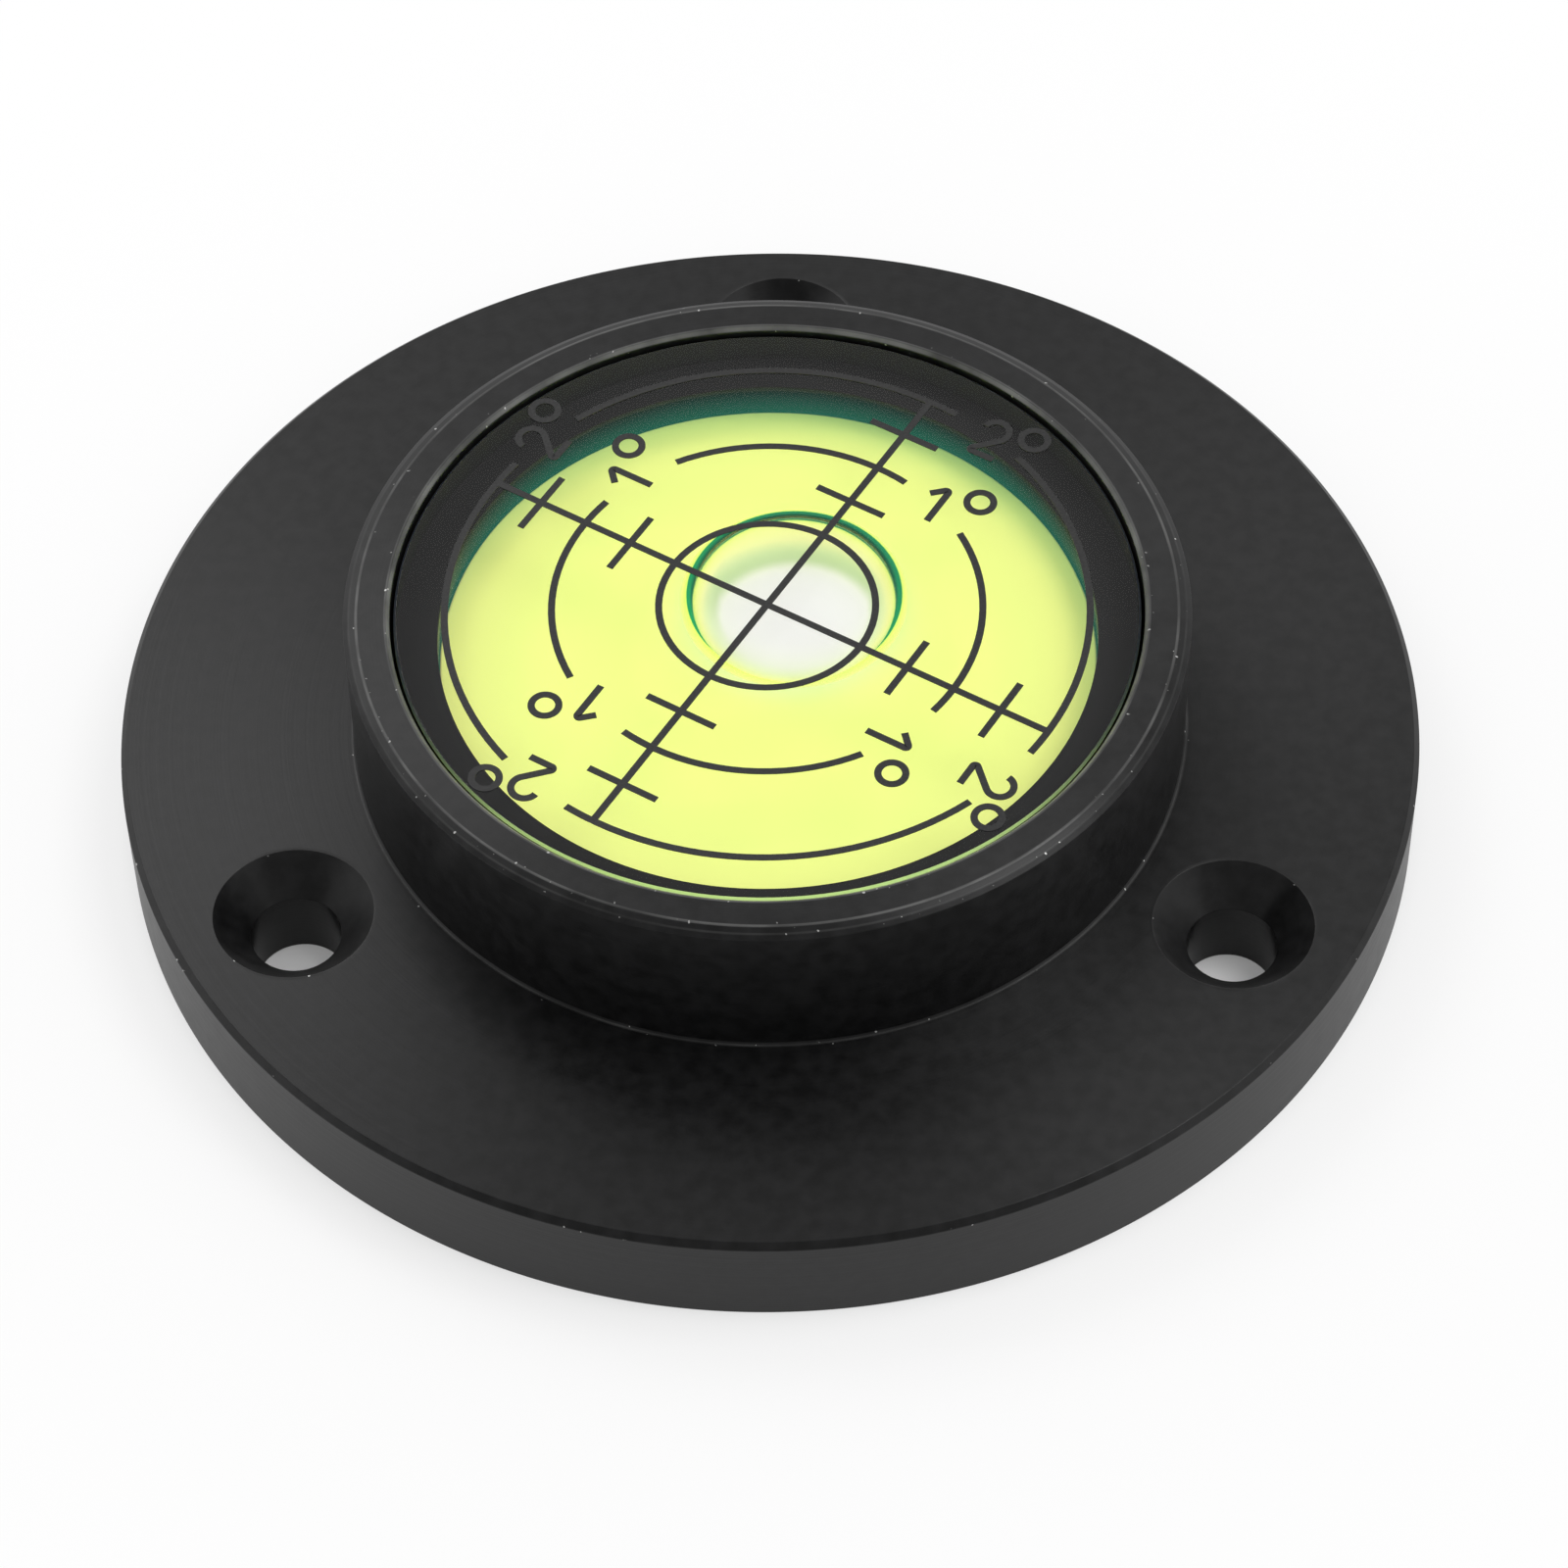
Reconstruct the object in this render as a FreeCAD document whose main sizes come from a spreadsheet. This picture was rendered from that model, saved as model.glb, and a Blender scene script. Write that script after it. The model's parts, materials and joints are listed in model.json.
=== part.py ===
import FreeCAD, Part

import os
import re

import Sketcher

# Circular spirit level in a flanged housing, in millimetres.
# The origin is the centre of the underside, and +Z points up through the lens.
# One fixing hole lies towards +Y, and the others follow evenly round the flange.

# Radii run outward from the axis, each ring of material adding its own width.
# Heights run upward from the underside, each layer adding its own thickness.
# Angles are in degrees.
DRIVING = {
    "centre_ring": 5.4,  # radius of the ring that frames the bubble when it is level
    "degree_step": 5.33,  # travel of the bubble for one degree of tilt
    "degree_count": 2,  # graduated degrees, one circle of arcs each
    "window_margin": 0.46,  # from the last arcs to the wall of the chamber
    "ledge_width": 2.08,  # band of the lens that rests on its seal
    "lens_gap": 0.18,  # clearance round the lens in its bore
    "rim_wall": 2.32,  # wall of the boss round the bore
    "hole_setback": 5.7,  # from the boss to the centres of the fixing holes
    "flange_land": 6.2,  # from those centres to the edge of the flange
    "flange_thickness": 5.5,
    "pocket_floor": 6.5,  # metal left under the chamber
    "disc_thickness": 1.0,
    "disc_gap": 0.05,  # clearance round the white disc in the chamber
    "liquid_depth": 3.0,  # at the wall of the chamber
    "seal_thickness": 0.5,
    "lens_thickness": 3.16,  # at its edge
    "lens_recess": 0.34,  # from the top of the rim down to the lens
    "hole_diameter": 4.5,  # clears an M4 screw
    "countersink_diameter": 8.0,
    "countersink_angle": 90.0,
    "hole_count": 3,
    "flange_chamfer": 0.3,  # of its upper edge
    "foot_chamfer": 0.05,  # of its lower edge, which is only deburred
    "rim_bevel_width": 0.66,
    "rim_bevel_drop": 0.3,
    "rim_inner_chamfer": 0.2,
    "boss_root": 0.12,  # slope where the boss rises from the flange
    "lens_chamfer": 0.12,
    "line_width": 0.36,  # of every printed line
    "ink_thickness": 0.04,
    "tick_length": 3.9,
    "arm_angle": 60.0,  # of the first crosshair arm, from +X
    "arm_count": 4,
    "inner_arc_lead": 9.3,  # how far the inner arcs start before their arm
    "inner_arc_sweep": 66.3,
    "outer_arc_lead": 5.75,
    "outer_arc_sweep": 74.75,
    "bubble_radius": 5.75,  # half way up, where it is widest
    "bubble_patch": 4.1,  # radius of its flat top against the lens
    "bubble_foot": 4.0,  # radius of its flat underside
    "bubble_film": 0.15,  # liquid left between it and the white disc
    "bubble_offset": 2.79,  # from the axis to the bubble, about half a degree of tilt
    "bubble_bearing": 63.4,  # of the bubble's centre, from +X
}

# What follows from the driving sizes.
DERIVED = {
    "dome_radius": "degree_step / tan(1 deg)",
    "last_arc": "centre_ring + degree_count * degree_step",
    "chamber_radius": "last_arc + window_margin",
    "lens_radius": "chamber_radius + ledge_width",
    "bore_radius": "lens_radius + lens_gap",
    "boss_radius": "bore_radius + rim_wall",
    "hole_circle": "boss_radius + hole_setback",
    "flange_radius": "hole_circle + flange_land",
    "disc_radius": "chamber_radius - disc_gap",
    "disc_top": "pocket_floor + disc_thickness",
    "lens_seat": "disc_top + liquid_depth",
    "ledge_height": "lens_seat - seal_thickness",
    "lens_top": "lens_seat + lens_thickness",
    "rim_top": "lens_top + lens_recess",
    "ball_centre": "lens_seat - sqrt(dome_radius ^ 2 - chamber_radius ^ 2)",
    "dome_top": "ball_centre + dome_radius",
    "bubble_base": "disc_top + bubble_film",
    "bubble_band": "(dome_top - bubble_base) / 3",
    "bubble_x": "bubble_offset * cos(bubble_bearing * 1 deg)",
    "bubble_y": "bubble_offset * sin(bubble_bearing * 1 deg)",
    "arm_length": "last_arc + line_width / 2",
}

NAMES = set(DRIVING) | set(DERIVED)
NEAR = 1e-4

doc = FreeCAD.newDocument("bullseye_level")


def make_sheet():
    """Spreadsheet with a named cell for each driving and each derived size."""
    sheet = doc.addObject("Spreadsheet::Sheet", "Sizes")
    cells = [(name, str(number)) for name, number in DRIVING.items()]
    cells += [(name, "=" + rule) for name, rule in DERIVED.items()]
    for row, (name, content) in enumerate(cells, start=1):
        sheet.set(f"A{row}", name)
        sheet.set(f"B{row}", content)
        sheet.setAlias(f"B{row}", name)
    doc.recompute()
    return sheet


sizes = make_sheet()


def bound(rule):
    """The rule with each size's name turned into its cell."""
    return re.sub(r"[a-z_]+", lambda word: "Sizes." * (word[0] in NAMES) + word[0], rule)


def number(rule):
    """What the rule comes to with the sheet as it stands."""
    return float(sizes.evalExpression(bound(rule)))


def point(rules):
    return FreeCAD.Vector(number(rules[0]), number(rules[1]), 0)


def new_body(name):
    body = doc.addObject("PartDesign::Body", name)
    body.Label = name
    return body


def origin_feature(body, role):
    return next(item for item in body.Origin.OriginFeatures if item.Role == role)


def new_sketch(body, name, plane="XZ_Plane", base=("0", "0", "0"), turn="0"):
    """Sketch on an origin plane of the body, moved by base and turned about its normal."""
    sketch = body.newObject("Sketcher::SketchObject", name)
    sketch.AttachmentSupport = (origin_feature(body, plane), "")
    sketch.MapMode = "FlatFace"
    sketch.AttachmentOffset = FreeCAD.Placement(
        FreeCAD.Vector(), FreeCAD.Rotation(FreeCAD.Vector(0, 0, 1), number(turn))
    )
    for axis, rule in zip("xyz", base):
        if rule != "0":
            sketch.setExpression(f"AttachmentOffset.Base.{axis}", bound(rule))
    if turn != "0":
        sketch.setExpression("AttachmentOffset.Rotation.Angle", bound(turn))
    return sketch


def drive(sketch, rule, kind, *places):
    """Dimension of that kind, tied to the sheet."""
    index = sketch.addConstraint(Sketcher.Constraint(kind, *places, number(rule)))
    sketch.setExpression(f"Constraints[{index}]", bound(rule))


def pin_point(sketch, geometry, end, rules):
    """Dimensions the point from the sketch's origin, or lays it on an axis.

    Geometry -1 is the sketch's horizontal axis, whose first point is the origin, and -2 its
    vertical axis."""
    across, up = rules
    for rule, kind, axis in ((across, "DistanceX", -2), (up, "DistanceY", -1)):
        if rule == "0":
            sketch.addConstraint(Sketcher.Constraint("PointOnObject", geometry, end, axis))
        else:
            drive(sketch, rule, kind, -1, 1, geometry, end)


def draw_outline(sketch, corners, bends=None):
    """Closed outline through corners, which are pairs of rules.

    bends maps the number of a round side to the rules of the point that its arc passes.
    A side's start is its point 1 and its end is its point 2."""
    bends = bends or {}
    sides = []
    for side, corner in enumerate(corners):
        first, last = point(corner), point(corners[(side + 1) % len(corners)])
        if side in bends:
            line = sketch.addGeometry(Part.Arc(first, point(bends[side]), last))
            passed = sketch.addGeometry(Part.Point(point(bends[side])), True)
            sketch.addConstraint(Sketcher.Constraint("PointOnObject", passed, 1, line))
            pin_point(sketch, passed, 1, bends[side])
        else:
            line = sketch.addGeometry(Part.LineSegment(first, last))
        forward = sketch.getPoint(line, 1).distanceToPoint(first) < NEAR
        sides.append((line, 1, 2) if forward else (line, 2, 1))
    for side, (line, first, last) in enumerate(sides):
        following, joined, _ = sides[(side + 1) % len(sides)]
        sketch.addConstraint(Sketcher.Constraint("Coincident", line, last, following, joined))
        pin_point(sketch, line, first, corners[side])


def draw_circle(sketch, radius, centre=("0", "0")):
    circle = sketch.addGeometry(Part.Circle(point(centre), FreeCAD.Vector(0, 0, 1), number(radius)))
    pin_point(sketch, circle, 3, centre)
    drive(sketch, radius, "Radius", circle)


def revolve(body, sketch, name):
    """Full turn of the sketch about its own upright axis."""
    feature = body.newObject("PartDesign::Revolution", name)
    feature.Profile = sketch
    feature.ReferenceAxis = (sketch, ["V_Axis"])
    feature.Angle = 360
    doc.recompute()
    return feature


def pad(body, sketch, thickness, name):
    feature = body.newObject("PartDesign::Pad", name)
    feature.Profile = sketch
    feature.setExpression("Length", bound(thickness))
    doc.recompute()
    return feature


def round_edges(feature, radius, height):
    """Names of the feature's edges that run round the axis at that radius and height."""
    centre = FreeCAD.Vector(0, 0, number(height))
    names = []
    for index, edge in enumerate(feature.Shape.Edges, start=1):
        if edge.Degenerated or not isinstance(edge.Curve, Part.Circle):
            continue
        off_centre = edge.Curve.Center.distanceToPoint(centre)
        if off_centre < NEAR and abs(edge.Curve.Radius - number(radius)) < NEAR:
            names.append(f"Edge{index}")
    return names


def chamfer(body, base, size, radius, height, name):
    """Chamfer on the round edge of base at that radius and height."""
    feature = body.newObject("PartDesign::Chamfer", name)
    feature.Base = (base, round_edges(base, radius, height))
    feature.setExpression("Size", bound(size))
    doc.recompute()
    return feature


def repeat_round(body, originals, count, name):
    """The originals, copied evenly round the axis of the body."""
    pattern = body.newObject("PartDesign::PolarPattern", name)
    pattern.Originals = originals
    pattern.Axis = (origin_feature(body, "Z_Axis"), [""])
    pattern.Angle = 360
    pattern.setExpression("Occurrences", bound(count))
    body.Tip = pattern
    doc.recompute()
    return pattern


def make_housing():
    """Turned flange and boss with a stepped pocket, drilled for countersunk screws."""
    body = new_body("housing")
    section = new_sketch(body, "HousingSection")
    draw_outline(
        section,
        [
            ("0", "0"),
            ("flange_radius", "0"),
            ("flange_radius", "flange_thickness"),
            ("boss_radius", "flange_thickness"),
            ("boss_radius", "rim_top - rim_bevel_drop"),
            ("boss_radius - rim_bevel_width", "rim_top"),
            ("bore_radius", "rim_top"),
            ("bore_radius", "ledge_height"),
            ("chamber_radius", "ledge_height"),
            ("chamber_radius", "pocket_floor"),
            ("0", "pocket_floor"),
        ],
    )
    tip = revolve(body, section, "Turned")
    for size, radius, height, name in (
        ("boss_root", "boss_radius", "flange_thickness", "BossRoot"),
        ("flange_chamfer", "flange_radius", "flange_thickness", "FlangeTopEdge"),
        ("foot_chamfer", "flange_radius", "0", "FlangeBottomEdge"),
        ("rim_inner_chamfer", "bore_radius", "rim_top", "RimInnerEdge"),
    ):
        tip = chamfer(body, tip, size, radius, height, name)
    spot = new_sketch(body, "HoleSpot", "XY_Plane", ("0", "0", "flange_thickness"))
    draw_circle(spot, "hole_diameter / 2", ("0", "hole_circle"))
    hole = body.newObject("PartDesign::Hole", "ScrewHole")
    hole.Profile = spot
    doc.recompute()
    hole.Threaded = False
    hole.ThreadType = "None"
    hole.DepthType = "ThroughAll"
    hole.HoleCutType = "Countersink"
    hole.HoleCutCustomValues = True
    hole.setExpression("Diameter", bound("hole_diameter"))
    hole.setExpression("HoleCutDiameter", bound("countersink_diameter"))
    hole.setExpression("HoleCutCountersinkAngle", bound("countersink_angle"))
    doc.recompute()
    repeat_round(body, [hole], "hole_count", "ScrewHoles")
    return body


def make_disc():
    """White disc on the floor of the chamber, the background of the bubble."""
    body = new_body("white_disc")
    outline = new_sketch(body, "DiscOutline", "XY_Plane", ("0", "0", "pocket_floor"))
    draw_circle(outline, "disc_radius")
    pad(body, outline, "disc_thickness", "Disc")
    return body


def make_seal():
    """Flat ring between the ledge of the housing and the lens."""
    body = new_body("seal_ring")
    outline = new_sketch(body, "SealOutline", "XY_Plane", ("0", "0", "ledge_height"))
    draw_circle(outline, "lens_radius")
    draw_circle(outline, "chamber_radius")
    pad(body, outline, "seal_thickness", "Seal")
    return body


def place_ball(ball):
    """Sets the ball that domes the lens under its chamber, with its poles to front and back."""
    ball.Placement = FreeCAD.Placement(
        FreeCAD.Vector(), FreeCAD.Rotation(FreeCAD.Vector(1, 0, 0), 90)
    )
    ball.setExpression("Placement.Base.z", bound("ball_centre"))
    ball.setExpression("Radius", bound("dome_radius"))
    doc.recompute()


def make_lens():
    """Clear disc whose hollow underside is part of a large ball, which sets the tilt scale."""
    body = new_body("lens")
    outline = new_sketch(body, "LensOutline", "XY_Plane", ("0", "0", "lens_seat"))
    draw_circle(outline, "lens_radius")
    blank = pad(body, outline, "lens_thickness", "LensBlank")
    edged = chamfer(body, blank, "lens_chamfer", "lens_radius", "lens_top", "LensEdge")
    ball = body.newObject("PartDesign::SubtractiveSphere", "Dome")
    place_ball(ball)
    return body


def place_tool(kind, name, settings, foot, centre=("0", "0")):
    """Part primitive of that kind standing at centre and height foot, with its sizes set."""
    tool = doc.addObject(kind, name)
    for setting, rule in settings.items():
        tool.setExpression(setting, bound(rule))
    for axis, rule in zip("xyz", (*centre, foot)):
        tool.setExpression(f"Placement.Base.{axis}", bound(rule))
    return tool


def make_bubble():
    """Gas gap under the lens, whose wall swells out, stands upright and closes in again."""
    centre = ("bubble_x", "bubble_y")
    swelling = {"Radius1": "bubble_foot", "Radius2": "bubble_radius", "Height": "bubble_band"}
    upright = {"Radius": "bubble_radius", "Height": "bubble_band"}
    closing = {"Radius1": "bubble_radius", "Radius2": "bubble_patch", "Height": "bubble_band"}
    bubble = doc.addObject("Part::MultiFuse", "Bubble")
    bubble.Shapes = [
        place_tool("Part::Cone", "BubbleFoot", swelling, "bubble_base", centre),
        place_tool("Part::Cylinder", "BubbleWaist", upright, "bubble_base + bubble_band", centre),
        place_tool("Part::Cone", "BubbleHead", closing, "bubble_base + 2 * bubble_band", centre),
    ]
    return bubble


def make_liquid():
    """Filling of the chamber up to the domed lens, less the flattened bubble in it."""
    extent = {"Radius": "chamber_radius", "Height": "lens_top - disc_top"}
    filling = place_tool("Part::Cylinder", "Filling", extent, "disc_top")
    ball = doc.addObject("Part::Sphere", "DomeBall")
    place_ball(ball)
    domed = doc.addObject("Part::Common", "DomedFilling")
    domed.Base, domed.Tool = filling, ball
    bubble = make_bubble()
    liquid = doc.addObject("Part::Cut", "liquid")
    liquid.Base, liquid.Tool = domed, bubble
    liquid.Label = "liquid"
    doc.recompute()
    return liquid


def ink_sketch(body, name):
    """Sketch on top of the lens whose horizontal axis runs along the first arm."""
    return new_sketch(body, name, "XY_Plane", ("0", "0", "lens_top"), "arm_angle")


def ink_block(body, name, inner, outer, half_width):
    """Printed bar across the arm's axis from inner to outer, both measured along it."""
    sketch = ink_sketch(body, name + "Outline")
    low, high = f"-1 * ({half_width})", half_width
    draw_outline(sketch, [(inner, low), (outer, low), (outer, high), (inner, high)])
    return pad(body, sketch, "ink_thickness", name)


def ink_arc(body, name, radius, lead, sweep):
    """Printed arc that starts lead before the arm and runs on for sweep."""
    sketch = ink_sketch(body, name + "Outline")
    inner, outer = f"({radius} - line_width / 2)", f"({radius} + line_width / 2)"
    begin, middle, finish = f"(-1 * {lead})", f"({sweep} / 2 - {lead})", f"({sweep} - {lead})"

    def polar(distance, angle):
        return f"{distance} * cos({angle} * 1 deg)", f"{distance} * sin({angle} * 1 deg)"

    draw_outline(
        sketch,
        [polar(inner, begin), polar(outer, begin), polar(outer, finish), polar(inner, finish)],
        {1: polar(outer, middle), 3: polar(inner, middle)},
    )
    return pad(body, sketch, "ink_thickness", name)


def make_graduations():
    """Ink print on the lens: centre ring, crosshair, ticks and the arcs of each degree."""
    body = new_body("graduations")
    ring = ink_sketch(body, "RingOutline")
    draw_circle(ring, "centre_ring + line_width / 2")
    draw_circle(ring, "centre_ring - line_width / 2")
    pad(body, ring, "ink_thickness", "CentreRing")
    marks = [ink_block(body, "Arm", "0", "arm_length", "line_width / 2")]
    for degree in range(1, DRIVING["degree_count"] + 1):
        middle = f"centre_ring + {degree - 0.5} * degree_step"
        inner, outer = f"{middle} - line_width / 2", f"{middle} + line_width / 2"
        marks.append(ink_block(body, f"Tick{degree}", inner, outer, "tick_length / 2"))
        place = "outer" if degree == DRIVING["degree_count"] else "inner"
        radius = f"centre_ring + {degree} * degree_step"
        lead, sweep = f"{place}_arc_lead", f"{place}_arc_sweep"
        marks.append(ink_arc(body, f"Arc{degree}", radius, lead, sweep))
    repeat_round(body, marks, "arm_count", "FourArms")
    return body


def write_parts(bodies):
    """Stops at any failed object or shape, then writes one STEP file for each body."""
    doc.recompute()
    for item in doc.Objects:
        if "Invalid" in item.State or "Error" in item.State:
            raise RuntimeError(f"{item.Label} did not recompute: {item.State}")
    for body in bodies:
        if body.Shape.isNull() or not body.Shape.isValid():
            raise RuntimeError(f"{body.Label} has no valid shape")
    os.makedirs("parts", exist_ok=True)
    for body in bodies:
        body.Shape.exportStep(f"parts/{body.Label}.step")
        box = body.Shape.BoundBox
        print(body.Label, len(body.Shape.Solids), round(body.Shape.Volume, 3), box)


write_parts(
    [make_housing(), make_disc(), make_seal(), make_lens(), make_liquid(), make_graduations()]
)
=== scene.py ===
import json
import logging
import math
from dataclasses import dataclass, field
from enum import Enum
from typing import ClassVar

import bmesh
import bpy
import numpy as np
from mathutils import Matrix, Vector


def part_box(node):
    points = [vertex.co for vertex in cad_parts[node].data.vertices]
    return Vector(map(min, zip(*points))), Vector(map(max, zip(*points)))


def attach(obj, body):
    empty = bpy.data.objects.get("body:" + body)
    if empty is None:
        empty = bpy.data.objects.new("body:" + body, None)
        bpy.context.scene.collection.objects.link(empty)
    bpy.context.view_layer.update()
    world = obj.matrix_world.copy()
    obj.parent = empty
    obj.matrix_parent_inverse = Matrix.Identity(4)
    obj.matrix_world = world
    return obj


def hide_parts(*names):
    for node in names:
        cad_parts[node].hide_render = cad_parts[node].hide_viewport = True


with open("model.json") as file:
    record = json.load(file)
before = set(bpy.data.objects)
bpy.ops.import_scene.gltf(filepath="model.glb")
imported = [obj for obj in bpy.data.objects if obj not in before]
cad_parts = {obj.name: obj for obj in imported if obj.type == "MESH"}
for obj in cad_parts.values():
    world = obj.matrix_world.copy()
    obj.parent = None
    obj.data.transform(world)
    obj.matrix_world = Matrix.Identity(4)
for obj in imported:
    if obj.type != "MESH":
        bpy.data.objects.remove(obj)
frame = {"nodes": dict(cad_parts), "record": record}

# Round spirit level in a black anodised flanged housing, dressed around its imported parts.
# Lengths are in metres. The origin is the centre of the underside, +Z points up through the
# lens, and one fixing hole lies towards +Y.

Array = np.ndarray
Socket = bpy.types.NodeSocket
Colour = tuple[float, float, float]
Place = tuple[float, float]

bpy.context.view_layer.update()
LOG = logging.getLogger("bullseye_level")

MM = 0.001
SKIN = 0.02 * MM  # how far touching surfaces reach into each other, or stay apart
APART = 0.1 * SKIN  # points of one outline that lie nearer than this are taken as one
MERGE = 0.01 * SKIN  # points of a mesh that lie nearer than this are merged
SHARP = math.radians(28)  # angle between two faces from which the edge is drawn sharp
BODY = "root"
AXIS = "turning_axis"  # attribute of each face: the axis that it was turned about
NOISE_SPAN = (0.3, 0.7)  # values between which nearly all of a noise lies
# The light lines along the housing's edges are wear that also serves as painted highlight.
EDGE_CORE = 0.35  # share of the width of a worn line that is fully worn


class Slot(Enum):
    """Material slots of the record."""

    METAL = "anodised_metal"
    LENS = "clear_lens"
    INK = "black_ink"
    LIQUID = "level_liquid"
    DISC = "white_plastic"
    SEAL = "black_seal"


# Shapes


def circle_points(count: int) -> Array:
    """Unit circle: (cos a, sin a) at evenly spaced angles a, in rows."""
    angles = np.arange(count) * (2 * np.pi / count)
    return np.stack([np.cos(angles), np.sin(angles)], axis=-1)


def lifted(plane: Array, height: Array | float) -> Array:
    """Plane points with their heights as a third coordinate."""
    height = np.broadcast_to(height, plane.shape[:-1])
    return np.concatenate([plane, height[..., None]], axis=-1)


def turned(profile: Array, directions: Array, centre: Array | None = None) -> Array:
    """Profile turned round an upright axis: centre + radius * direction, at its height.

    Args:
        profile: (radius, height) rows.
        directions: Unit vectors in the plane, one for each column.
        centre: Place of the axis, or None for the origin.

    Returns:
        Grid of shape (rows, columns, 3).
    """
    middle = np.zeros(2) if centre is None else centre
    return lifted(middle + profile[:, None, :1] * directions[None], profile[:, 1:])


def rounded(corners: Array, radii: Array, steps: int = 4, support: float = 0.04 * MM) -> Array:
    """Open outline through corners whose inner corners are rounded.

    With q the radius and w half the angle between the two sides, the arc touches them q / tan w
    from the corner, and its centre lies q / sin w from it on the bisector. The arc's points are
    spherical blends of its two end directions. One more point lies on each side just past the
    arc, so that the flat beside it stays flat in shading.

    Args:
        corners: (n, 2) points.
        radii: Radius at each corner; the first and the last are not read, and 0 keeps a corner.
        steps: Number of chords in each arc.
        support: Distance of the extra points from the arc.

    Returns:
        (m, 2) points.
    """
    corner, before, after = corners[1:-1], corners[:-2], corners[2:]
    radius = radii[1:-1, None]
    back = (before - corner) / np.linalg.norm(before - corner, axis=1, keepdims=True)
    ahead = (after - corner) / np.linalg.norm(after - corner, axis=1, keepdims=True)
    half = np.arccos(np.clip((back * ahead).sum(1, keepdims=True), -1, 1)) / 2
    reach = radius / np.tan(half)
    bisector = (back + ahead) / np.linalg.norm(back + ahead, axis=1, keepdims=True)
    centre = corner + bisector * radius / np.sin(half)
    first = back * reach - bisector * radius / np.sin(half)
    last = ahead * reach - bisector * radius / np.sin(half)
    turn = (np.pi - 2 * half)[:, None]
    share = np.linspace(0, 1, steps + 1)[None, :, None]
    arc = np.sin((1 - share) * turn) * first[:, None] + np.sin(share * turn) * last[:, None]
    arc = centre[:, None] + arc / np.sin(turn)
    lead_in = corner + back * (reach + support)
    lead_out = corner + ahead * (reach + support)
    path = np.concatenate([lead_in[:, None], arc, lead_out[:, None]], axis=1).reshape(-1, 2)
    path = np.concatenate([corners[:1], path, corners[-1:]])
    apart = np.linalg.norm(np.diff(path, axis=0), axis=1) > APART
    return path[np.concatenate([[True], apart])]


def outline(*corners: tuple[float, float, float]) -> Array:
    """Rounded profile through (radius, height, rounding) corners."""
    table = np.array(corners)
    return rounded(table[:, :2], table[:, 2])


def ribbon(path: Array, width: float, low: float, high: float) -> Array:
    """Flat bar along a plane path: path -/+ half the width across its direction, low to high.

    Args:
        path: (n, 2) centre line.
        width: Width of the bar.
        low: Height of its underside.
        high: Height of its top.

    Returns:
        Grid of shape (n, 4, 3) whose columns close round the bar.
    """
    along = np.gradient(path, axis=0)
    along /= np.linalg.norm(along, axis=1, keepdims=True)
    across = np.stack([-along[:, 1], along[:, 0]], axis=-1) * width / 2
    sides = np.stack([path - across, path - across, path + across, path + across], axis=1)
    return lifted(sides, np.array([high, low, low, high]))


@dataclass
class Surface:
    """Grids of points gathered into one closed mesh.

    A grid's rows run along the profile and its columns run round it. With columns anticlockwise
    seen from the tip of the axis, a profile that climbs has its face outwards.
    """

    points: list[Array] = field(default_factory=list)
    quads: list[Array] = field(default_factory=list)
    finishes: list[Array] = field(default_factory=list)
    axes: list[Array] = field(default_factory=list)

    def add(
        self,
        grid: Array,
        closed: bool = True,
        finish: int | Array = 0,
        caps: bool = False,
        axis: Array | None = None,
    ) -> None:
        """Adds the quads between neighbouring points of a grid.

        Args:
            grid: (rows, columns, 3) points.
            closed: Whether the last column joins the first.
            finish: Number of the material, or one for each band between two rows.
            caps: Whether the first and the last row of four points are faces too.
            axis: Place of the upright axis that the faces were turned about.
        """
        rows, columns = grid.shape[:2]
        start = sum(len(block) for block in self.points)
        index = start + np.arange(rows * columns).reshape(rows, columns)
        if closed:
            index = np.concatenate([index, index[:, :1]], axis=1)
        made = [
            np.stack(
                [index[:-1, :-1], index[:-1, 1:], index[1:, 1:], index[1:, :-1]], axis=-1
            ).reshape(-1, 4)
        ]
        if caps:
            made += [index[:1, :4][:, ::-1], index[-1:, :4]]
        quads = np.concatenate(made)
        bands = np.broadcast_to(finish, rows - 1).repeat(len(made[0]) // (rows - 1))
        self.points.append(grid.reshape(-1, 3))
        self.quads.append(quads)
        self.finishes.append(np.resize(bands, len(quads)))
        centre = np.zeros(3) if axis is None else np.append(axis, 0.0)
        self.axes.append(np.tile(centre, (len(quads), 1)))

    def build(self, name: str, materials: list[bpy.types.Material]) -> bpy.types.Object:
        """Makes the object, with points that coincide merged and edges over SHARP kept sharp.

        Args:
            name: Name of the object and of its mesh.
            materials: Its materials, in the order of the finish numbers.

        Returns:
            The object, linked to the scene.
        """
        mesh = bpy.data.meshes.new(name)
        mesh.from_pydata(np.concatenate(self.points), [], np.concatenate(self.quads).tolist())
        for material in materials:
            mesh.materials.append(material)
        mesh.polygons.foreach_set("material_index", np.concatenate(self.finishes).astype(np.int32))
        axis = mesh.attributes.new(AXIS, "FLOAT_VECTOR", "FACE")
        axis.data.foreach_set("vector", np.concatenate(self.axes).astype(np.float32).ravel())
        merged = bmesh.new()
        merged.from_mesh(mesh)
        bmesh.ops.remove_doubles(merged, verts=merged.verts, dist=MERGE)
        bmesh.ops.dissolve_degenerate(merged, edges=merged.edges, dist=MERGE)
        merged.to_mesh(mesh)
        merged.free()
        mesh.shade_smooth()
        mesh.set_sharp_from_angle(angle=SHARP)
        return added(name, mesh)


def added(name: str, data: bpy.types.ID) -> bpy.types.Object:
    """Puts the data into the scene as an object."""
    made = bpy.data.objects.new(name, data)
    bpy.context.scene.collection.objects.link(made)
    return made


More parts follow.
